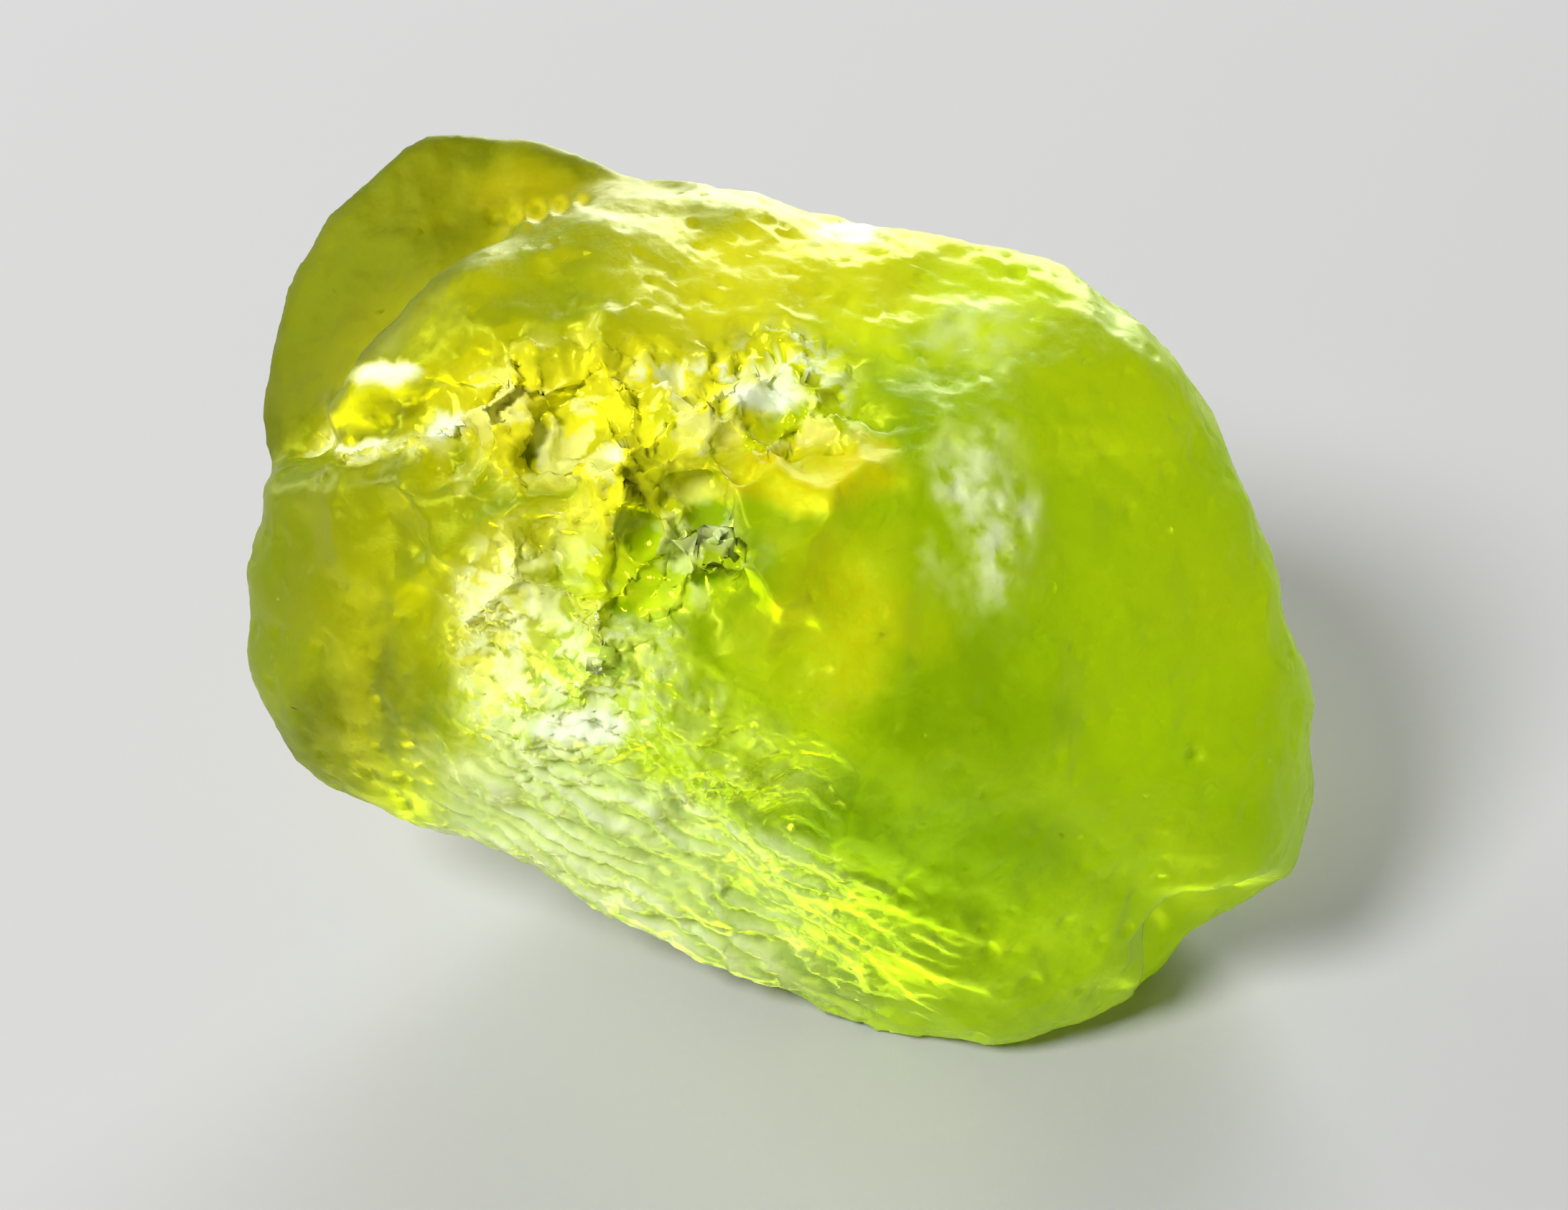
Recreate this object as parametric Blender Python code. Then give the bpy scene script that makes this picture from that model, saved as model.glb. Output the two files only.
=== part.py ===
"""Raw peridot: one rough, yellow-green crystal fragment that rests on its own worn flat.

The stone is laid out as it looks to someone who looks down on it: X is to the right, Y is up the view, and Z is
towards the viewer. Its natural faces set the form, a relief of ledges, ribs, chips and hollows is added to them,
and the whole stone is then tipped back by VIEW_ELEVATION so that its flat lies on the ground, at Z = 0.
"""

import math
from collections import namedtuple

import bmesh
import bpy
from mathutils import Vector, noise

MM = 0.001
HALF = Vector((0.5, 0.5, 0.5))

# How steeply the layout view looks down on the standing stone, and from how far.
VIEW_ELEVATION = math.radians(38)
VIEW_DISTANCE_MM = 97

# Height of the stone's middle over its resting flat, and how much of the worn bottom the flat takes off.
MIDDLE_HEIGHT_MM = 9.6
BOTTOM_WEAR_MM = 0.35

# The higher this is, the sharper the edges between the natural faces.
EDGE_CRISPNESS = 22

SPHERE_SUBDIVISIONS = 7
KEPT_TRIANGLES = 0.115

# Every waver in the relief is drawn from this, so that the stone always comes out the same.
NOISE_SEED = 3

# A natural face: clock is its direction round the view in degrees (0 right, 90 up), lean is how far it turns
# towards the viewer in degrees (negative: away), and distance is from the stone's middle in mm.
Face = namedtuple("Face", "name clock lean distance")

FACES = [
    Face("right dome", 12, 60, 8.1),
    Face("right shoulder", 26, 14, 11.7),
    Face("right flank", 12, -20, 12.3),
    Face("right lower flank", -9, 12, 13.9),
    Face("right lower corner", -36, -4, 15.3),
    Face("bottom right flank", -61, 8, 13.8),
    Face("bottom front", -88, 18, 11.9),
    Face("front slope", -74, 52, 8.7),
    Face("ribbed band", -114, 34, 7.7),
    Face("band foot", -117, -10, 9.6),
    Face("left lower corner", -139, 8, 13.2),
    Face("left front", -152, 52, 9.1),
    Face("left flank", -168, 10, 14.3),
    Face("left rear flank", 174, -6, 13.7),
    Face("lobe side", 153, 4, 15.9),
    Face("lobe corner", 125, 2, 15.6),
    Face("lobe front", 142, 52, 9.7),
    Face("top edge", 79, -8, 9.7),
    Face("top slope", 84, 46, 7.7),
    Face("top right edge", 60, 6, 11.1),
    Face("upper right shoulder", 45, 16, 11.6),
    Face("front brow", -80, 67, 8.2),
    Face("middle front", -110, 80, 8.0),
    Face("rear right", 18, -58, 8.4),
    Face("rear left", -164, -52, 9.0),
    Face("rear top", 98, -56, 8.6),
    Face("rear lobe", 146, -44, 11.4),
    Face("rear middle", -40, -80, 7.9),
]

# A scoop is a shallow round hollow with a crisp rim, and a swelling is a soft lump: where each lies in mm, its
# radius, and its depth or height.
Scoop = namedtuple("Scoop", "name place radius depth")
Swelling = namedtuple("Swelling", "name place radius height")

SCOOP_BEND_MM = 0.9
SCOOP_BEND_FREQUENCY = 0.55
SCOOP_LEAN = 1.2

SCOOPS = [
    Scoop("corner notch", (11.6, -9.3, 0.5), 2.6, 1.5),
    Scoop("middle pit", (-2.3, 1.1, 8.2), 2.0, 0.5),
    Scoop("inclusion pit", (-3.9, 0.5, 8.0), 1.3, 0.6),
    Scoop("upper pit", (-5.4, 3.6, 7.0), 1.6, 0.7),
    Scoop("small upper pit", (-3.2, 4.4, 7.0), 1.1, 0.45),
    Scoop("front scoop", (-0.4, -5.6, 7.0), 2.1, 0.6),
    Scoop("lower front scoop", (-3.4, -5.2, 6.6), 1.4, 0.45),
    Scoop("right hollow", (5.0, -1.4, 8.0), 2.6, 0.35),
    Scoop("right chip", (9.6, -4.4, 6.2), 1.2, 0.3),
    Scoop("upper right chip", (3.9, 6.6, 6.2), 2.2, 0.35),
    Scoop("rear scoop", (4.0, 4.5, -7.5), 4.6, 1.2),
    Scoop("rear side scoop", (10.6, 3.0, -5.0), 3.2, 0.7),
    Scoop("rear chip", (-5.0, -1.5, -8.0), 3.2, 0.9),
    Scoop("rear lobe chip", (-9.5, 6.5, -6.0), 3.0, 0.8),
    Scoop("rear low chip", (1.5, -4.5, -8.0), 2.4, 0.6),
]

SWELLINGS = [
    Swelling("corner bump", (13.6, -6.6, 0.0), 2.2, 0.5),
    Swelling("lobe tip", (-9.8, 11.6, -0.8), 3.0, 0.6),
    Swelling("lobe brow", (-8.4, 12.0, -1.0), 1.5, 0.4),
    Swelling("left end", (-13.6, -1.6, 1.0), 2.6, 0.35),
    Swelling("front brow", (2.0, -3.6, 8.2), 3.6, 0.3),
]

# A wave of the stone's edge as the layout view shows it: its clock direction and its width in degrees, and how
# far it stands out in mm (negative: in). Every wave fades out in front of the edge and behind it.
EdgeWave = namedtuple("EdgeWave", "name clock width height")

EDGE_WAVES = [
    EdgeWave("upper right swell", 52, 10, 0.25),
    EdgeWave("top dip", 80, 8, -0.25),
    EdgeWave("lobe tip swell", 118, 8, 0.6),
    EdgeWave("lobe dip", 131, 5, -0.5),
    EdgeWave("lobe side swell", 151, 11, 0.62),
    EdgeWave("groove notch", 170, 6, -0.4),
    EdgeWave("lower left swell", 204, 14, 0.6),
    EdgeWave("bottom swell", 282, 14, 0.4),
    EdgeWave("corner notch", 320, 5, -0.55),
]
EDGE_REACH_MM = 4.5

# The lip where the body stands proud of the lobe: two straight runs, each as the clock direction that it faces
# and its distance from the middle in mm, how far it rises and over what width, and how far the lobe lies behind.
# Here and below, a pair of numbers is where something begins and where it is full, in mm along X or Z.
LIP_RUNS = [(135, 11.5), (101, 10.55)]
LIP_WAVER_MM = 0.35
LIP_WAVER_FREQUENCY = 0.8
LIP_RISE_MM = 0.7
LIP_FADE_MM = 2.2
LIP_FRONT = (2.0, 4.0)
LIP_END = (-2, 3)
LOBE_DROP_MM = 2.7
LOBE_RISER_MM = 0.55
LOBE_FRONT = (-2.5, 3.5)
LOBE_END = (-3, 2)

# The groove that splits the lip's left end, from its mouth to its tip.
GROOVE_MOUTH = Vector((-12.6, 3.7))
GROOVE_TIP = Vector((-8.3, 5.1))
GROOVE_WIDTH_MM = 0.75
GROOVE_DEPTH_MM = 1.3
GROOVE_TAPER = 0.6
GROOVE_FRONT = (0.8, 2.8)

# The parting steps along the ribbed band: the way that they run, as a clock direction, their spacing and height.
RIB_CLOCK = math.radians(-24)
RIB_SPACING_MM = 1.25
RIB_HEIGHT_MM = 0.3
RIB_BEND_MM = 0.7
RIB_BEND_FREQUENCY = 0.3
RIB_BREAK_FREQUENCY = 0.22
RIB_DROP_FROM = 0.86
RIB_BAND_TOP = (4.0, 6.5)
RIB_BAND_FRONT = (-3.5, -0.5)
RIB_BAND_LEFT = (-11, -8)
RIB_BAND_RIGHT = (3, 7)

# Chipped ground: the size of its chips and how far they stand out of true, and how broken the worn skin and the
# back are beside the middle of the front.
CHIP_MM = 2.1
CHIP_TILT = 0.75
CHIP_BOWL = 0.9
CHIP_SINK = 0.25
WORN_SHARE = 0.12
REAR_SHARE = 0.6
BROKEN_MIDDLE = Vector((-4.2, 1.8, 7.0))
BROKEN_SQUEEZE = Vector((0.72, 1, 0.5))
BROKEN_REACH = (3.2, 6.0)
REAR_FROM = (1.5, 4)

# Two parting steps across the back: the clock direction that they face, their places along it, and their height.
REAR_STEP_CLOCK = math.radians(70)
REAR_STEPS = [(0.8, 1.25), (4.6, 5.1)]
REAR_STEP_MM = 0.5
REAR_STEP_BEND_MM = 0.9
REAR_STEP_BACK = (2.5, 5.5)

# Worn unevenness over the whole stone.
WAVE_MM = 5.5
WAVE_HEIGHT_MM = 0.42
GRAIN_MM = 1.7
GRAIN_HEIGHT_MM = 0.11

STONE_COLOUR = (0.42, 0.56, 0.02, 1)
STONE_ROUGHNESS = 0.3
STONE_IOR = 1.67

REST_CUTTER_MM = 60


def ramp(value, low, high):
    """0 below low, 1 above high, and smooth between them."""
    share = min(max((value - low) / (high - low), 0), 1)
    return share * share * (3 - 2 * share)


def seen(point):
    """Where the layout view shows a point, in mm right of and above the stone's middle."""
    nearer = VIEW_DISTANCE_MM / (VIEW_DISTANCE_MM - point.z)
    return Vector((point.x * nearer, point.y * nearer))


def direction_of(clock, lean):
    """The unit vector at a clock direction round the view and a lean towards the viewer, in degrees."""
    clock, lean = math.radians(clock), math.radians(lean)
    return Vector((math.cos(lean) * math.cos(clock), math.cos(lean) * math.sin(clock), math.sin(lean)))


def resting_face():
    """The worn bottom, which faces straight down once the stone is tipped onto it."""
    return Face("resting flat", -90, -math.degrees(VIEW_ELEVATION), MIDDLE_HEIGHT_MM + BOTTOM_WEAR_MM)


def body_point(direction, planes):
    """The point in that direction on the faceted body, whose edges are rounded by a power mean of its faces."""
    pull = sum(max(direction.dot(normal), 0) ** EDGE_CRISPNESS / distance ** EDGE_CRISPNESS
               for normal, distance in planes)
    return direction * pull ** (-1 / EDGE_CRISPNESS)


def scoop_relief(point):
    """Chips and pits: each is a bowl of uneven outline, steep at one side and fading out at the other."""
    bent = point + SCOOP_BEND_MM * noise.noise_vector(point * SCOOP_BEND_FREQUENCY)
    depth = 0
    for scoop in SCOOPS:
        off = (bent - Vector(scoop.place)) / scoop.radius
        steep = noise.cell_vector(Vector(scoop.place) * scoop.radius) - HALF
        depth += scoop.depth * max(0, 1 - off.length_squared) * (1 + SCOOP_LEAN * off.dot(steep))
    return -depth


def edge_relief(point):
    """The waves of the stone's edge, as the layout view shows it."""
    clock = math.degrees(math.atan2(point.y, point.x)) % 360
    stand = sum(wave.height * math.exp(-((clock - wave.clock) / wave.width) ** 2) for wave in EDGE_WAVES)
    return stand * math.exp(-(point.z / EDGE_REACH_MM) ** 2)


def swelling_relief(point):
    """Lumps, each fading out round its own place."""
    return sum(s.height * math.exp(-((point - Vector(s.place)).length / s.radius) ** 2) for s in SWELLINGS)


def past_the_lip(point):
    """How far the point lies beyond the lip, on the lobe's side of it, in mm as seen in the layout view."""
    place = seen(point)
    waver = LIP_WAVER_MM * noise.noise(point * LIP_WAVER_FREQUENCY)
    return waver + max(place.x * math.cos(math.radians(clock)) + place.y * math.sin(math.radians(clock)) - distance
                       for clock, distance in LIP_RUNS)


def lip_relief(point):
    """The body's edge rises to a lip."""
    past = past_the_lip(point)
    rise = LIP_RISE_MM * (1 - ramp(past, 0, LOBE_RISER_MM)) * (1 - ramp(-past, 0, LIP_FADE_MM))
    return rise * ramp(point.z, *LIP_FRONT) * (1 - ramp(point.x, *LIP_END))


def lobe_drop(point):
    """How far the lobe's front lies behind the body's, which makes the riser under the lip."""
    drop = LOBE_DROP_MM * ramp(past_the_lip(point), 0, LOBE_RISER_MM)
    return drop * ramp(point.z, *LOBE_FRONT) * (1 - ramp(point.x, *LOBE_END))


def groove_relief(point):
    """A wedge-shaped groove that runs in from the left edge and dies out at its tip."""
    run = GROOVE_TIP - GROOVE_MOUTH
    place = seen(point)
    along = min(max((place - GROOVE_MOUTH).dot(run) / run.length_squared, 0), 1)
    off = (place - GROOVE_MOUTH - run * along).length
    width = GROOVE_WIDTH_MM * (1 - GROOVE_TAPER * along)
    return -GROOVE_DEPTH_MM * math.exp(-(off / width) ** 2) * ramp(point.z, *GROOVE_FRONT)


def rib_relief(point):
    """Parting steps that come and go along the band: each rises slowly and ends in a drop, as torn layers do."""
    across = point.x * math.sin(RIB_CLOCK) - point.y * math.cos(RIB_CLOCK)
    across += RIB_BEND_MM * noise.noise(point * RIB_BEND_FREQUENCY)
    step = (across / RIB_SPACING_MM) % 1
    tooth = ramp(step, 0, RIB_DROP_FROM) * (1 - ramp(step, RIB_DROP_FROM, 1))
    band = ramp(across, *RIB_BAND_TOP) * ramp(point.z, *RIB_BAND_FRONT)
    band *= ramp(point.x, *RIB_BAND_LEFT) * (1 - ramp(point.x, *RIB_BAND_RIGHT))
    return RIB_HEIGHT_MM * tooth * band * ramp(noise.noise(point * RIB_BREAK_FREQUENCY), -0.35, 0.25)


def brokenness(point):
    """1 on the broken ground in the middle of the front, less on the back, and least on the worn skin."""
    middle = 1 - ramp(((point - BROKEN_MIDDLE) * BROKEN_SQUEEZE).length, *BROKEN_REACH)
    return max(middle, REAR_SHARE * ramp(-point.z, *REAR_FROM), WORN_SHARE)


def chip_relief(point):
    """Shallow chips at odd angles, which meet in sharp ridges."""
    place = point / CHIP_MM
    heights = []
    for middle in noise.voronoi(place)[1]:
        tilt = noise.cell_vector(middle * CHIP_MM) - HALF
        heights.append(CHIP_TILT * tilt.dot(place - middle) + CHIP_BOWL * (place - middle).length_squared)
    return CHIP_MM * (min(heights) - CHIP_SINK) * brokenness(point)


def rear_step_relief(point):
    """Parting steps across the back, which the layout view doesn't reach."""
    across = point.x * math.cos(REAR_STEP_CLOCK) + point.y * math.sin(REAR_STEP_CLOCK)
    across += REAR_STEP_BEND_MM * noise.noise(point * RIB_BEND_FREQUENCY)
    steps = sum(ramp(across, *step) for step in REAR_STEPS)
    return -REAR_STEP_MM * steps * ramp(-point.z, *REAR_STEP_BACK)


def wear_relief(point):
    """Soft waves and a finer grain, as on any river-worn or etched crystal."""
    waves = noise.fractal(point / WAVE_MM, 1.0, 2.1, 3)
    grain = noise.hetero_terrain(point / GRAIN_MM, 1.0, 2.0, 2, 0.4)
    return WAVE_HEIGHT_MM * waves + GRAIN_HEIGHT_MM * grain


RELIEFS = (scoop_relief, edge_relief, swelling_relief, lip_relief, groove_relief, rib_relief, chip_relief,
           rear_step_relief, wear_relief)


def stone_mesh():
    """A finely divided sphere whose points are moved out to the faces, and then along their rays by the relief."""
    shape = bmesh.new()
    bmesh.ops.create_icosphere(shape, subdivisions=SPHERE_SUBDIVISIONS, radius=1)
    planes = [(direction_of(f.clock, f.lean), f.distance) for f in [*FACES, resting_face()]]
    for vertex in shape.verts:
        direction = vertex.co.normalized()
        point = body_point(direction, planes)
        relief = sum(part(point) for part in RELIEFS)
        vertex.co = (point + direction * relief - Vector((0, 0, lobe_drop(point)))) * MM
    mesh = bpy.data.meshes.new("peridot")
    shape.to_mesh(mesh)
    shape.free()
    mesh.shade_smooth()
    return mesh


def crystal_material():
    """Clear yellow-green olivine with a worn skin."""
    material = bpy.data.materials.new("peridot crystal")
    material.use_nodes = True
    shader = material.node_tree.nodes["Principled BSDF"]
    shader.inputs["Base Color"].default_value = STONE_COLOUR
    shader.inputs["Roughness"].default_value = STONE_ROUGHNESS
    shader.inputs["Metallic"].default_value = 0
    shader.inputs["IOR"].default_value = STONE_IOR
    shader.inputs["Transmission Weight"].default_value = 1
    return material


def collection_named(name):
    collection = bpy.data.collections.new(name)
    bpy.context.scene.collection.children.link(collection)
    return collection


def resting_cutter(collection):
    """A block below the ground, which leaves the stone the flat that it rests on."""
    bpy.ops.mesh.primitive_cube_add(size=REST_CUTTER_MM * MM, location=(0, 0, -REST_CUTTER_MM * MM / 2))
    cutter = bpy.context.object
    cutter.name = "ground cutter"
    cutter.hide_render = True
    cutter.display_type = "WIRE"
    for owner in list(cutter.users_collection):
        owner.objects.unlink(cutter)
    collection.objects.link(cutter)
    return cutter


def centre_over_origin(thing):
    """Moves the object level, so that the middle of its box is over the origin."""
    bpy.context.view_layer.update()
    final = thing.evaluated_get(bpy.context.evaluated_depsgraph_get())
    corners = [final.matrix_world @ v.co for v in final.data.vertices]
    for axis in (0, 1):
        values = [corner[axis] for corner in corners]
        thing.location[axis] -= (min(values) + max(values)) / 2


def make_stone():
    stone = bpy.data.objects.new("peridot", stone_mesh())
    collection_named("raw peridot").objects.link(stone)
    stone.rotation_euler = (math.pi / 2 - VIEW_ELEVATION, 0, 0)
    stone.location = (0, 0, MIDDLE_HEIGHT_MM * MM)
    stone.data.materials.append(crystal_material())
    thin = stone.modifiers.new("fewer triangles", "DECIMATE")
    thin.ratio = KEPT_TRIANGLES
    flat = stone.modifiers.new("resting flat", "BOOLEAN")
    flat.operation = "DIFFERENCE"
    flat.object = resting_cutter(collection_named("cutters"))
    centre_over_origin(stone)


for leftover in list(bpy.data.objects):
    bpy.data.objects.remove(leftover)
noise.seed_set(NOISE_SEED)
make_stone()
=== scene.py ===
"""A raw peridot: a rough fragment of clear yellow-green crystal, standing on its own worn flat."""

import math
import random
from collections import namedtuple

import bmesh
import bpy
from mathutils import Matrix, Vector, kdtree, noise


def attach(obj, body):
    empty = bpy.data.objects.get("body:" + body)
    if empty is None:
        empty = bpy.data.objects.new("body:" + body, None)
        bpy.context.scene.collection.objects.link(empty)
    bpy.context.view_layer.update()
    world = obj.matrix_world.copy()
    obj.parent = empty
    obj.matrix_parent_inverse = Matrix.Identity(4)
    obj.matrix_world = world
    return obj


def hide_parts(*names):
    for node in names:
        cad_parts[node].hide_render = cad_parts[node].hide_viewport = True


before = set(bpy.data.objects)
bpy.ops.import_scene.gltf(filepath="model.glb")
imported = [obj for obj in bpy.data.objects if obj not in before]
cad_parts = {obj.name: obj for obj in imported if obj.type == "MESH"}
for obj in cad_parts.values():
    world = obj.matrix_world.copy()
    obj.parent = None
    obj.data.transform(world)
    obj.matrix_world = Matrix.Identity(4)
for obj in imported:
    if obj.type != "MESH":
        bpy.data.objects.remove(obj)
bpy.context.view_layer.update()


# The crystal: form
# One fragment of peridot, a clear iron-bearing olivine, broken from its rock and then worn. It takes its
# form from the solid. Its skin is divided finely and worked in millimetres, laid out as the stone looks from
# its viewing side: X to the right, Y up the view and Z towards the viewer.

NOISE_SEED = 5
MM = 0.001
VIEW_ELEVATION = math.radians(38)
VIEW_DISTANCE_MM = 97
MIDDLE_MM = Vector((0.004, -0.117, 9.6))
SEAM_MM = 0.001
SKIN_STEP_MM = 0.1
SKIN_SMOOTHING = 7
WORN_NOTCH = Vector((12.2, -8.2))
WORN_REACH_MM = 3.2
NOTCH_SMOOTHING = 60
SKIN_TRIANGLES = 190000
FLAT_WITHIN_MM = 0.06

noise.seed_set(NOISE_SEED)


def layout_to_world():
    """From the layout's millimetres to the frame's metres."""
    tipped = Matrix.Rotation(math.pi / 2 - VIEW_ELEVATION, 4, "X")
    return Matrix.Scale(MM, 4) @ Matrix.Translation(MIDDLE_MM) @ tipped


def applied(thing):
    """The object's mesh as its modifiers leave it."""
    mesh = bpy.data.meshes.new_from_object(thing.evaluated_get(bpy.context.evaluated_depsgraph_get()))
    thing.modifiers.clear()
    thing.data = mesh
    return mesh


def smooth(skin, times, group=""):
    """Smooths the skin, or only as far as a vertex group says."""
    wear = skin.modifiers.new("wear", "SMOOTH")
    wear.iterations = times
    wear.vertex_group = group
    applied(skin)


def even_skin(node):
    """The solid, divided evenly and finely, and smoothed out of its flat triangles and its chipped corner."""
    shape = bmesh.new()
    shape.from_mesh(node.data)
    bmesh.ops.transform(shape, matrix=layout_to_world().inverted(), verts=shape.verts)
    bmesh.ops.remove_doubles(shape, verts=shape.verts, dist=SEAM_MM)
    mesh = bpy.data.meshes.new("crystal")
    shape.to_mesh(mesh)
    shape.free()
    skin = bpy.data.objects.new("crystal", mesh)
    bpy.context.scene.collection.objects.link(skin)
    divide = skin.modifiers.new("divide", "REMESH")
    divide.mode = "VOXEL"
    divide.voxel_size = SKIN_STEP_MM
    smooth(skin, SKIN_SMOOTHING)
    worn = skin.vertex_groups.new(name="worn notch")
    for vertex in skin.data.vertices:
        off = (vertex.co.xy - WORN_NOTCH).length / WORN_REACH_MM
        worn.add([vertex.index], min(max(2 - 2 * off, 0), 1), "REPLACE")
    smooth(skin, NOTCH_SMOOTHING, worn.name)
    return skin


# The crystal: kinds of ground
# Each kind of broken or worn ground has a share from 0 to 1 at any point of the skin, by where it shows in
# the view. The relief and the finish both follow these shares.

DRIFT_MM = 1.3
DRIFT_FREQUENCY = 0.42
FINE_DRIFT_MM = 0.4
FINE_DRIFT_FREQUENCY = 1.7

# A pair of numbers is where something begins and where it is full, in mm.
FRONT_Z = (-5.5, -3)
FRONT_DRIFT = 0.5
LIP_RUNS = [(135, 11.5), (101, 10.55)]
LOBE_RISER = (0.1, 0.6)
LOBE_Z = (-7, -4)
RIB_CLOCK = math.radians(-23)
RIB_ALONG = Vector((math.cos(RIB_CLOCK), math.sin(RIB_CLOCK)))
RIB_ACROSS = Vector((math.sin(RIB_CLOCK), -math.cos(RIB_CLOCK)))
RIB_BAND_TOP = (5.4, 6.4)
RIB_BAND_LEFT = (-7.5, -5.5)
RIB_BAND_RIGHT = (6, 8)
RIB_BAND_Z = (-5, -2.5)
FLAKES_ON_RIBS = 0.15
SMOOTH_X = (2.8, 5.2)

# An oval patch of the view: its middle and half widths in mm, how strong it is and how softly it ends.
Patch = namedtuple("Patch", "middle reach strength softness", defaults=(1, 0.3))

HACKLE = [Patch((-3.6, 4.7), (5.4, 2.1)), Patch((-3.4, 1.2), (2.7, 2.5))]
SMOOTH_BAND = [Patch((0.8, 3.0), (2.2, 0.9), 1, 0.4)]
FLAKES = [
    Patch((-5.9, -1.7), (3.5, 3.3)),
    Patch((-10.2, 3.5), (2.0, 0.6), 0.8),
    Patch((-2.6, -4.4), (3.4, 1.7), 0.5, 0.5),
]
STRIAE = [Patch((2.6, 8.2), (6.4, 2.2))]
SWIRLS = [Patch((-0.9, -5.5), (2.6, 1.6))]


def ramp(value, low, high):
    """0 below low, 1 above high, and smooth between them."""
    share = min(max((value - low) / (high - low), 0), 1)
    return share * share * (3 - 2 * share)


def seen(point):
    """Where a point shows in the view, in mm right of and above the stone's middle."""
    nearer = VIEW_DISTANCE_MM / (VIEW_DISTANCE_MM - point.z)
    return Vector((point.x * nearer, point.y * nearer))


def within(place, patch):
    """The patch's strength inside it, fading to 0 across its edge."""
    right = (place.x - patch.middle[0]) / patch.reach[0]
    above = (place.y - patch.middle[1]) / patch.reach[1]
    return patch.strength * (1 - ramp(Vector((right, above)).length, 1 - patch.softness, 1 + patch.softness))


def covered(place, patches):
    """How much the strongest of some patches covers a place, from 0 to 1."""
    return max(within(place, patch) for patch in patches)


def past_the_lip(place):
    """How far a place in the view is beyond the lip, on the lobe's side, in mm."""
    return max(place.x * math.cos(math.radians(clock)) + place.y * math.sin(math.radians(clock)) - distance
               for clock, distance in LIP_RUNS)


def grounds(point):
    """The share of each kind of ground at a point of the skin."""
    drift = DRIFT_MM * noise.noise_vector(point * DRIFT_FREQUENCY)
    drift += FINE_DRIFT_MM * noise.noise_vector(point * FINE_DRIFT_FREQUENCY)
    place = seen(point) + drift.xy
    across = place.dot(RIB_ACROSS)
    along = place.dot(RIB_ALONG)
    front = ramp(point.z + FRONT_DRIFT * drift.z, *FRONT_Z)
    lobe = ramp(past_the_lip(seen(point)), *LOBE_RISER) * ramp(point.z, *LOBE_Z)
    hackle = covered(place, HACKLE)
    hackle *= front * (1 - lobe) * (1 - covered(place, SMOOTH_BAND))
    ribs = ramp(across, *RIB_BAND_TOP) * ramp(along, *RIB_BAND_LEFT) * (1 - ramp(along, *RIB_BAND_RIGHT))
    ribs *= ramp(point.z, *RIB_BAND_Z)
    return {
        "lobe": lobe,
        "hackle": hackle,
        "flakes": max(covered(place, FLAKES) * (1 - hackle), FLAKES_ON_RIBS * ribs) * front,
        "ribs": ribs,
        "striae": front * covered(place, STRIAE) * (1 - lobe),
        "swirls": front * covered(place, SWIRLS) * (1 - ribs),
        "smooth": front * ramp(place.x, *SMOOTH_X),
        "rear": (1 - front) * (1 - ribs) * (1 - lobe),
    }


def total(here, amounts):
    """The shares of some kinds of ground, each times its own amount, added up."""
    return sum(amount * here[ground] for ground, amount in amounts.items())


def most(here, amounts):
    """The largest share of some kinds of ground, each times its own amount."""
    return max(amount * here[ground] for ground, amount in amounts.items())


# The crystal: relief
# Facets that meet in sharp ridges where it is hackly, shingled flakes and parting steps down its left side,
# fine streaks under its top edge, shell-like ripples low on its front, and hollows and small pits on its
# worn skin.

RELIEF_SEED = 11
COARSE_FACET_MM = 0.95
FINE_FACET_MM = 0.42
FACET_LEAN = 0.85
FACET_BOWL = 0.1
FLAKE_MM = 0.6
FLAKE_STEP_MM = 0.15
FLAKE_STRETCH = 0.62
LEDGE_CLOCK = math.radians(-32)
LEDGE_ALONG = Vector((math.cos(LEDGE_CLOCK), math.sin(LEDGE_CLOCK)))
LEDGE_ACROSS = Vector((math.sin(LEDGE_CLOCK), -math.cos(LEDGE_CLOCK)))
RIB_SPACING_MM = 0.48
RIB_HEIGHT_MM = 0.15
STREAK_HEIGHT_MM = 0.045
RIPPLE_SPACING_MM = 0.55
RIPPLE_HEIGHT_MM = 0.065
RIPPLE_CENTRE = Vector((0.3, -7.2))
PIT_SPACING_MM = 1.0
PIT_RADII_MM = (0.09, 0.3)
PIT_DEPTH = 0.3
WEAR_HEIGHT_MM = 0.042
WEAR_FREQUENCY = 1.5

# How strongly each relief shows on each kind of ground.
COARSE_FACETS_ON = {"hackle": 1, "flakes": 0.25, "rear": 0.3}
FINE_FACETS_ON = {"hackle": 0.35, "flakes": 0.6, "rear": 0.12}
FINE_FACETS_ELSEWHERE = 0.05
PLATES_ON = {"flakes": 1, "rear": 0.2}
STREAKS_ON = {"striae": 1, "flakes": 0.2}

# Hollows of the front: each one's middle and radius in mm. The last five make the crack by the lobe's edge.
HOLLOW_DEPTH = 0.5
HOLLOW_Z = (-5, -3)
HOLLOWS = [
    ((-3.9, 1.5), 0.75),
    ((-2.0, 1.6), 0.85),
    ((-2.1, 0.1), 0.4),
    ((-5.9, 0.8), 0.35),
    ((-6.7, 3.4), 0.6),
    ((-4.3, -0.6), 0.5),
    ((10.8, -4.4), 0.3),
    ((5.4, -9.5), 0.22),
    ((-7.6, 9.75), 0.26),
    ((-7.1, 9.8), 0.34),
    ((-6.5, 9.9), 0.36),
    ((-5.9, 10.05), 0.3),
    ((-5.3, 10.2), 0.22),
]


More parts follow.
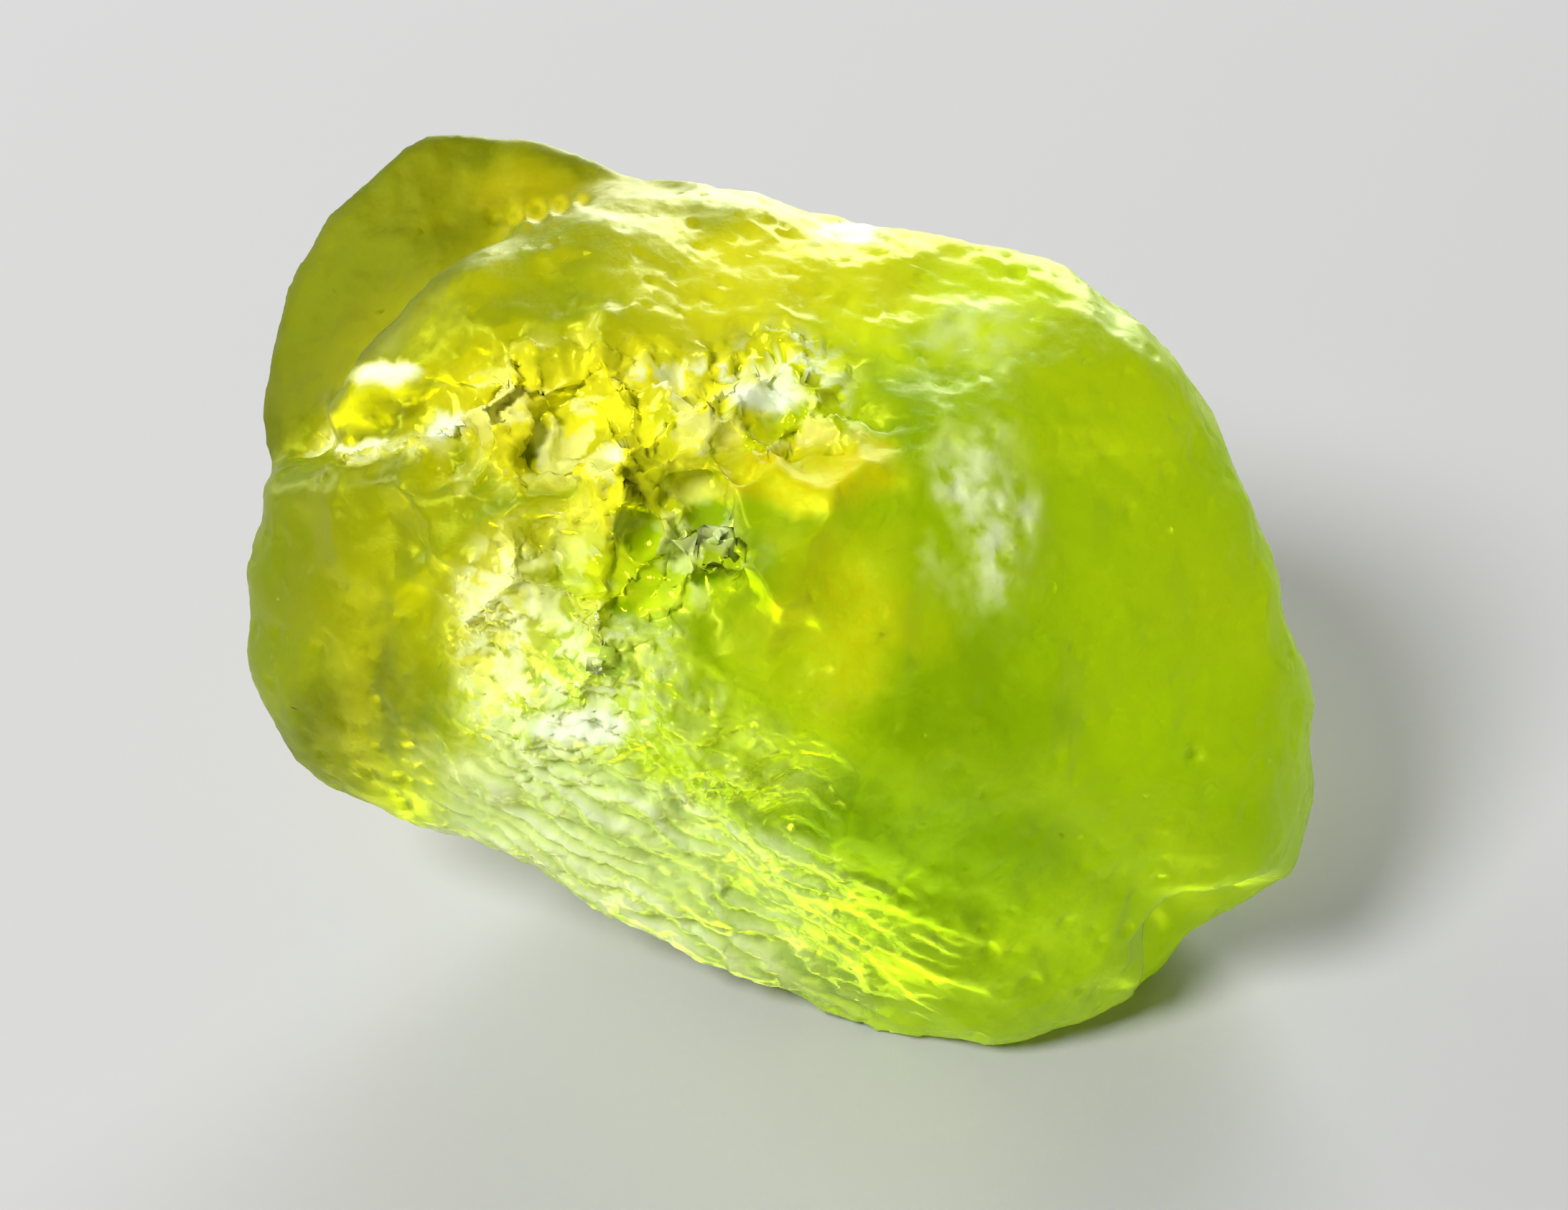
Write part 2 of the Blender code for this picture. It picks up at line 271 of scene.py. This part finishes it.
def scattered(points, spacing, draw):
    """Some of the points, drawn at random so that they stand about the given spacing apart."""
    order = list(range(len(points)))
    draw.shuffle(order)
    chosen = {}
    for index in order:
        chosen.setdefault(tuple(math.floor(c / spacing) for c in points[index]), points[index])
    return list(chosen.values())


def search_tree(middles):
    tree = kdtree.KDTree(len(middles))
    for index, middle in enumerate(middles):
        tree.insert(middle, index)
    tree.balance()
    return tree


def facets(points, size, draw):
    """A height and a tone from 0 to 1 for any point: facets at odd angles that meet in sharp ridges."""
    middles = scattered(points, size, draw)
    leans = [FACET_LEAN * Vector([draw.uniform(-1, 1) for _ in range(3)]) for _ in middles]
    tones = [draw.random() for _ in middles]
    tree = search_tree(middles)

    def facet(point):
        return min((leans[index].dot(point - middle) + FACET_BOWL * off * off / size, tones[index])
                   for middle, index, off in tree.find_n(point, 5))

    return facet


def squeezed(point):
    """The point in a space where flakes, which lie along the ledges, are as wide as they are long."""
    flat = point.xy - FLAKE_STRETCH * LEDGE_ALONG * point.xy.dot(LEDGE_ALONG)
    return Vector((flat.x, flat.y, point.z))


def plates(points, draw):
    """A height for any point: shingled plates, each of which ends in a small step."""
    middles = scattered([squeezed(p) for p in points], FLAKE_MM, draw)
    lifts = [draw.uniform(-0.6, 0.6) for _ in middles]
    tree = search_tree(middles)

    def height(point):
        place = squeezed(point)
        middle, index, off = tree.find(place)
        return FLAKE_STEP_MM * ((place - middle).xy.dot(LEDGE_ACROSS) / FLAKE_MM + lifts[index])

    return height


def rib_rise(point):
    """How far up a rib a point is, from 0 to 1: ribs come and go, and each rises slowly and ends in a drop."""
    place = seen(point)
    along = place.dot(LEDGE_ALONG)
    across = place.dot(LEDGE_ACROSS) + 0.5 * noise.noise(point * 0.5) + 0.14 * noise.noise(point * 1.7)
    step = across / RIB_SPACING_MM % 1
    tooth = ramp(step, 0, 0.85) * (1 - ramp(step, 0.85, 1))
    broken = noise.noise(Vector((along * 0.35, across * 1.6, 2)))
    return tooth * (0.2 + 0.8 * ramp(broken, -0.4, 0.2))


def streak_height(point):
    """Fine streaks that run down to the right."""
    place = seen(point)
    along, across = place.dot(RIB_ALONG), place.dot(RIB_ACROSS)
    return STREAK_HEIGHT_MM * noise.fractal(Vector((along * 0.6, across * 3.2, 5)), 0.9, 2.2, 2)


def ripple_height(point):
    """Ripples of a shell-like break, about the point that it was struck from."""
    off = (seen(point) - RIPPLE_CENTRE).length + 0.35 * noise.noise(point * 0.8)
    return RIPPLE_HEIGHT_MM * math.sin(off / RIPPLE_SPACING_MM * math.tau)


def pits(points, draw):
    """A height for any point: small round pits, scattered."""
    middles = scattered(points, PIT_SPACING_MM, draw)
    middles = middles[:len(middles) // 2]
    radii = [draw.uniform(*PIT_RADII_MM) for _ in middles]
    tree = search_tree(middles)

    def height(point):
        middle, index, off = tree.find(point)
        return -PIT_DEPTH * radii[index] * max(0, 1 - (off / radii[index]) ** 2)

    return height


def hollowed(point):
    """How far down into a hollow a point of the front lies, in mm."""
    place = seen(point)
    depths = [HOLLOW_DEPTH * radius * (1 - ((place - Vector(middle)).length / radius) ** 2)
              for middle, radius in HOLLOWS]
    return max(0, *depths) * ramp(point.z, *HOLLOW_Z)


def work_the_skin(skin):
    """Moves each point of the skin along its normal by the relief of the ground that it lies on."""
    moved = []
    for vertex in skin.data.vertices:
        point = vertex.co
        here = grounds(point)
        height = coarse_facet(point)[0] * total(here, COARSE_FACETS_ON)
        height += fine_facet(point)[0] * (total(here, FINE_FACETS_ON) + FINE_FACETS_ELSEWHERE)
        height += plate_height(point) * total(here, PLATES_ON)
        height += RIB_HEIGHT_MM * rib_rise(point) * here["ribs"]
        height += streak_height(point) * total(here, STREAKS_ON)
        height += ripple_height(point) * here["swirls"]
        height += pit_height(point) * (1 - here["hackle"]) * (1 - here["lobe"])
        height += WEAR_HEIGHT_MM * noise.fractal(point * WEAR_FREQUENCY, 0.8, 2.1, 4)
        moved.append(point + vertex.normal * (height - hollowed(point)))
    skin.data.vertices.foreach_set("co", [c for p in moved for c in p])
    skin.data.update()


def settle(skin):
    """Thins the skin where it is plain, puts it in the frame and keeps its resting flat flat."""
    thin = skin.modifiers.new("thin", "DECIMATE")
    thin.ratio = min(1, SKIN_TRIANGLES / (2 * len(skin.data.polygons)))
    mesh = applied(skin)
    mesh.transform(layout_to_world())
    for vertex in mesh.vertices:
        if vertex.co.z < FLAT_WITHIN_MM * MM:
            vertex.co.z = 0
    mesh.shade_smooth()


crystal = even_skin(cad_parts["peridot"])
skin_points = [vertex.co.copy() for vertex in crystal.data.vertices]
draw = random.Random(RELIEF_SEED)
coarse_facet = facets(skin_points, COARSE_FACET_MM, draw)
fine_facet = facets(skin_points, FINE_FACET_MM, draw)
plate_height = plates(skin_points, draw)
pit_height = pits(skin_points, draw)
work_the_skin(crystal)
settle(crystal)


# The crystal: finish
# Frosted where it is worn, glassy where it is freshly broken, pale where small flakes scatter the light, and
# stained by iron where water got in. The body's own yellow-green deepens with the light's way through it.
# Light and shade are painted into its colour as well: painted highlights at glints, paler and darker facets
# and flakes, pale rib crests, and painted shade in its hollows, its groove and the troughs between ribs.

LIME_PALE = (0.84, 1.0, 0.02, 1)
LIME_DEEP = (0.74, 0.98, 0.01, 1)
YELLOW_PALE = (1.0, 0.95, 0.03, 1)
YELLOW_DEEP = (0.95, 0.86, 0.01, 1)
# The deep green and olive serve for the body's deeper colour and for painted shade.
DEEP_AND_SHADE_GREEN = (0.24, 0.44, 0.0, 1)
DEEP_AND_SHADE_OLIVE = (0.32, 0.31, 0.0, 1)
IRON_STAIN = (0.9, 0.7, 0.0, 1)
# Pale flakes, and the painted highlights of the glints.
PALE_FLAKES_AND_HIGHLIGHTS = (0.92, 1.0, 0.72, 1)
SURFACE_SHEEN = (0.75, 0.85, 0.05, 1)
BODY_COLOUR = (0.945, 0.972, 0.0, 1)
BODY_DENSITY = 250
PERIDOT_IOR = 1.67
GLASSY = 0.1
FROSTED = 0.6
FROST_USUAL = 0.7
SCATTER_MOST = 0.8

# The scale and the detail of each mottling in the material, and the fine grain of the worn skin.
LIME_MOTTLE = (300, 5)
YELLOW_MOTTLE = (260, 5)
SKIN_GRAIN = (4200, 3)
SKIN_GRAIN_MM = 0.05
SKIN_GRAIN_STRENGTH = 0.25

WANDER_MM = 1.2
WANDER_FREQUENCY = 0.6
FINE_WANDER = 0.35
FINE_WANDER_FREQUENCY = 2.3
HIGHLIGHT_WANDER_MM = 0.4
GRAIN_FREQUENCY = 1.9
STAIN_GRAIN_FREQUENCY = 5
CLOUD_GRAIN_FREQUENCY = 6

STAINS = [Patch((0.5, 3.1), (2.5, 1.1), 1, 0.6), Patch((1.4, -0.8), (2.3, 2.0), 0.7, 0.8)]
EDGE_STAINS = [Patch((-5.2, 10.3), (3.0, 0.8), 0.9, 0.6)]
CLOUDS = [Patch((5.3, 1.6), (1.1, 2.2), 1, 0.7), Patch((5.0, 6.7), (1.4, 0.6), 0.6, 0.7)]
BRIGHT_CHIPS = [Patch((-0.8, 5.8), (2.5, 1.3))]
# Painted highlights: patches painted pale where glints of light show on the stone.
PAINTED_HIGHLIGHTS = [
    Patch((-5.4, -3.7), (1.3, 0.6)),
    Patch((-10.3, 5.5), (0.9, 0.3)),
    Patch((-8.9, 4.2), (0.7, 0.4)),
    Patch((-11.2, 3.7), (0.8, 0.2)),
    Patch((-4.6, 3.4), (0.35, 0.25)),
    Patch((-0.6, 5.0), (0.9, 0.5)),
    Patch((1.6, 9.2), (1.0, 0.35)),
]
DEEP_TONES = [
    Patch((5.0, -3.4), (2.2, 2.6), 0.7, 0.6),
    Patch((2.4, -7.2), (5.6, 2.8), 1, 0.5),
    Patch((-11.0, -3.8), (2.2, 1.8), 1, 0.5),
    Patch((-3.0, 0.9), (1.8, 1.3), 0.6, 0.5),
]
GROOVE_SHADE = [Patch((-10.4, 4.7), (1.0, 0.4))]

FRESH_ON = {"hackle": 1, "flakes": 0.8, "ribs": 0.6, "striae": 0.5, "swirls": 0.6, "rear": 0.35}
SCATTER_ON = {"hackle": 0.9, "flakes": 0.85, "striae": 0.5, "smooth": 0.15, "rear": 0.4}

# Where these come in and where they are full, in mm across the view.
RIGHT_OF_RIBS = (-4, 4)
YELLOW_TO_LIME = (-8.5, -1.5)
DEEPER_DOWN = (2, 8)
DEEPER_LEFT = (9, 11)
SHADED_HOLLOW = (0, 0.2)

# Each facet and flake has a tone from 0 to 1, drawn at random. These say from which tone to which it turns
# paler
# or darker: painted light and painted shade, standing in for how each facet and flake catches the light.
LIT_FACET_TONES = (0.5, 0.9)
SHADED_FACET_TONES = (0.05, 0.3)
LIT_FLAKE_TONES = (0.2, 0.8)
SHADED_FLAKE_TONES = (0.1, 0.35)
CHIP_TONES = (0.5, 0.75)
RIB_SHADE = (0.1, 0.35)


def finish_shares(point):
    """Frost, stain, haze with painted highlights, yellowness, depth with painted shade, and scatter at a point
    of the skin, each from 0 to 1.
    """
    here = grounds(point)
    wander = noise.noise_vector(point * WANDER_FREQUENCY)
    wander += FINE_WANDER * noise.noise_vector(point * FINE_WANDER_FREQUENCY)
    place = seen(point) + WANDER_MM * wander.xy
    front = 1 - here["rear"]
    leftward = 1 - ramp(place.x, *RIGHT_OF_RIBS)
    tone = coarse_facet(point)[1]
    fine_tone = fine_facet(point)[1]
    rise = rib_rise(point)
    # Painted shade in the hollows and the crack.
    hollow = ramp(hollowed(point), *SHADED_HOLLOW)
    grain = noise.noise(point * GRAIN_FREQUENCY)

    stain = covered(place, STAINS)
    edge_stain = covered(place, EDGE_STAINS)
    mottling = 0.65 + 0.35 * ramp(grain + noise.noise(point * STAIN_GRAIN_FREQUENCY), -0.5, 0.6)
    # Painted highlights where glints of light show.
    painted_highlight = covered(seen(point) + HIGHLIGHT_WANDER_MM * wander.xy, PAINTED_HIGHLIGHTS)
    cloud_grain = grain + 0.4 * noise.noise(point * CLOUD_GRAIN_FREQUENCY)
    cloud = covered(place, CLOUDS) * ramp(cloud_grain, -0.9, 0.3)
    chips = here["hackle"] * covered(place, BRIGHT_CHIPS) * ramp(fine_tone, *CHIP_TONES)

    # Pale flakes, clouds and chips. Painted highlights at the glints, on the paler facets and flakes, and on
    # the rib crests, most on the ribs' left part.
    haze_and_highlight = max(
        painted_highlight,
        0.75 * cloud,
        0.85 * chips,
        here["hackle"] * 0.35 * ramp(tone, *LIT_FACET_TONES),
        here["flakes"] * (0.1 + 0.6 * ramp(fine_tone, *LIT_FLAKE_TONES)),
        here["ribs"] * (0.3 + 0.6 * rise) * (0.2 + 0.8 * leftward),
    )
    # Deeper colour in some patches, lower down, at the far left and on the lobe. Painted shade in the hollows,
    # in the groove between lip and ledge, on the darker facets and flakes, in the troughs between ribs, and on
    # the ribs towards the right.
    deep_and_shade = max(
        hollow,
        covered(place, DEEP_TONES),
        covered(seen(point), GROOVE_SHADE),
        0.5 * ramp(-place.y, *DEEPER_DOWN),
        0.3 * ramp(-place.x, *DEEPER_LEFT),
        here["lobe"] * (1 - 0.6 * edge_stain),
        0.65 * here["hackle"] * (1 - ramp(tone, *SHADED_FACET_TONES)),
        0.9 * here["flakes"] * (1 - ramp(fine_tone, *SHADED_FLAKE_TONES)),
        here["ribs"] * (1 - ramp(rise, *RIB_SHADE)),
        0.8 * here["ribs"] * (1 - leftward),
    )
    # Less clear where broken ground, flakes, clouds, stains and ribs scatter the light. Glints and hollows are
    # made less clear too, so that their painted highlight and painted shade show.
    scatter = max(
        painted_highlight,
        cloud,
        0.6 * stain,
        0.9 * hollow,
        most(here, SCATTER_ON),
        here["ribs"] * (0.3 + 0.6 * leftward),
    )
    yellow = 1 - ramp(place.x - place.y, *YELLOW_TO_LIME)
    frost = (1 - most(here, FRESH_ON)) * (FROST_USUAL + (1 - FROST_USUAL) * here["lobe"])
    stained = front * max(stain * (1 - deep_and_shade), edge_stain * (1 - hollow)) * mottling
    return frost, stained, front * haze_and_highlight, yellow, front * deep_and_shade * (1 - haze_and_highlight), scatter


def mark_finish(mesh):
    """Writes the shares that the material reads onto the skin."""
    to_layout = layout_to_world().inverted()
    shares = [finish_shares(to_layout @ v.co) for v in mesh.vertices]
    for name, values in zip(("frost", "stain", "haze_and_highlight", "yellow", "deep_and_shade", "scatter"), zip(*shares)):
        mesh.attributes.new(name, "FLOAT", "POINT").data.foreach_set("value", values)


def crystal_finish():
    material = bpy.data.materials.new("peridot crystal")
    material.use_nodes = True
    tree = material.node_tree
    shader = tree.nodes["Principled BSDF"]
    output = tree.nodes["Material Output"]
    place = tree.nodes.new("ShaderNodeTexCoord").outputs["Object"]

    def share(name):
        node = tree.nodes.new("ShaderNodeAttribute")
        node.attribute_name = name
        return node.outputs["Fac"]

    def mottle(scale, detail):
        node = tree.nodes.new("ShaderNodeTexNoise")
        node.inputs["Scale"].default_value = scale
        node.inputs["Detail"].default_value = detail
        tree.links.new(place, node.inputs["Vector"])
        return node.outputs["Fac"]

    def blended(amount, first, second):
        node = tree.nodes.new("ShaderNodeMix")
        node.data_type = "RGBA"
        tree.links.new(amount, node.inputs[0])
        for socket, value in ((node.inputs[6], first), (node.inputs[7], second)):
            if isinstance(value, tuple):
                socket.default_value = value
            else:
                tree.links.new(value, socket)
        return node.outputs[2]

    def ranged(value, low, high):
        node = tree.nodes.new("ShaderNodeMapRange")
        node.inputs["To Min"].default_value = low
        node.inputs["To Max"].default_value = high
        tree.links.new(value, node.inputs["Value"])
        return node.outputs["Result"]

    lime = blended(mottle(*LIME_MOTTLE), LIME_DEEP, LIME_PALE)
    yellow = blended(mottle(*YELLOW_MOTTLE), YELLOW_DEEP, YELLOW_PALE)
    # The deep colour, which also carries painted shade.
    deep_and_shade_colour = blended(share("yellow"), DEEP_AND_SHADE_GREEN, DEEP_AND_SHADE_OLIVE)
    body = blended(share("deep_and_shade"), blended(share("yellow"), lime, yellow), deep_and_shade_colour)
    stained = blended(share("stain"), body, IRON_STAIN)
    # Pale flakes and painted highlights laid over the body's colour.
    tree.links.new(blended(share("haze_and_highlight"), stained, PALE_FLAKES_AND_HIGHLIGHTS), shader.inputs["Base Color"])
    tree.links.new(ranged(share("scatter"), 1, 1 - SCATTER_MOST), shader.inputs["Transmission Weight"])
    tree.links.new(ranged(share("frost"), GLASSY, FROSTED), shader.inputs["Roughness"])

    grain = tree.nodes.new("ShaderNodeBump")
    grain.inputs["Strength"].default_value = SKIN_GRAIN_STRENGTH
    grain.inputs["Distance"].default_value = SKIN_GRAIN_MM * MM
    tree.links.new(mottle(*SKIN_GRAIN), grain.inputs["Height"])
    tree.links.new(grain.outputs["Normal"], shader.inputs["Normal"])

    shader.inputs["IOR"].default_value = PERIDOT_IOR
    shader.inputs["Specular Tint"].default_value = SURFACE_SHEEN
    depth = tree.nodes.new("ShaderNodeVolumeAbsorption")
    depth.inputs["Color"].default_value = BODY_COLOUR
    depth.inputs["Density"].default_value = BODY_DENSITY
    tree.links.new(depth.outputs["Volume"], output.inputs["Volume"])
    return material


mark_finish(crystal.data)
crystal.data.materials.clear()
crystal.data.materials.append(crystal_finish())
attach(crystal, "root")
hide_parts("peridot")


# The floor
# A plain pale sheet, a hair below the stone.

FLOOR_SIZE = 4
FLOOR_GAP_MM = 0.05
FLOOR_COLOUR = (0.42, 0.42, 0.42, 1)
FLOOR_ROUGHNESS = 0.6

bpy.ops.mesh.primitive_plane_add(size=FLOOR_SIZE, location=(0, 0, -FLOOR_GAP_MM * MM))
floor = bpy.context.object
floor.name = "floor"
floor_finish = bpy.data.materials.new("pale floor")
floor_finish.use_nodes = True
floor_finish.node_tree.nodes["Principled BSDF"].inputs["Base Color"].default_value = FLOOR_COLOUR
floor_finish.node_tree.nodes["Principled BSDF"].inputs["Roughness"].default_value = FLOOR_ROUGHNESS
floor.data.materials.append(floor_finish)


# The light
# Soft studio light from all round, a key from the upper left, and large lamps behind that shine through the
# stone without a glare on its top.

AROUND = 0.13
WHITE = (1, 1, 1, 1)
LIT_POINT = Vector((0, 0, 0.009))

# Each lamp's place and width in metres, its power in watts, and whether polished ground mirrors it.
Lamp = namedtuple("Lamp", "name place width power mirrored")

LAMPS = [
    Lamp("key", (-0.22, -0.20, 0.34), 0.16, 2.5, True),
    Lamp("back", (0.08, 0.40, 0.12), 0.30, 3.3, False),
    Lamp("left back", (-0.34, 0.16, 0.14), 0.18, 0.7, False),
]

for lamp in LAMPS:
    light = bpy.data.lights.new(lamp.name, "AREA")
    light.shape = "DISK"
    light.size = lamp.width
    light.energy = lamp.power
    stand = bpy.data.objects.new(lamp.name, light)
    bpy.context.scene.collection.objects.link(stand)
    stand.visible_glossy = lamp.mirrored
    stand.location = lamp.place
    stand.rotation_mode = "QUATERNION"
    stand.rotation_quaternion = (LIT_POINT - Vector(lamp.place)).to_track_quat("-Z", "Y")

world = bpy.data.worlds.new("studio")
world.use_nodes = True
world.node_tree.nodes["Background"].inputs["Color"].default_value = WHITE
world.node_tree.nodes["Background"].inputs["Strength"].default_value = AROUND
bpy.context.scene.world = world
bpy.context.scene.view_settings.view_transform = "Standard"


# The camera
# It looks down on the stone as the photograph does, along the layout's Z.

LENS_MM = 85
SENSOR_MM = 36
PHOTO_WIDTH = 2184
MM_PER_PIXEL = 0.01883
AIM_BELOW_MIDDLE_MM = 0.44
NEAREST_SEEN_MM = 1

back = Vector((0, -math.cos(VIEW_ELEVATION), math.sin(VIEW_ELEVATION)))
up = Vector((0, math.sin(VIEW_ELEVATION), math.cos(VIEW_ELEVATION)))
view = bpy.data.cameras.new("camera")
view.lens = LENS_MM
view.sensor_width = SENSOR_MM
view.clip_start = NEAREST_SEEN_MM * MM
camera = bpy.data.objects.new("camera", view)
bpy.context.scene.collection.objects.link(camera)
stand_off = back * PHOTO_WIDTH * MM_PER_PIXEL / SENSOR_MM * LENS_MM
camera.location = (MIDDLE_MM - up * AIM_BELOW_MIDDLE_MM + stand_off) * MM
camera.rotation_mode = "QUATERNION"
camera.rotation_quaternion = (-back).to_track_quat("-Z", "Y")
bpy.context.scene.camera = camera
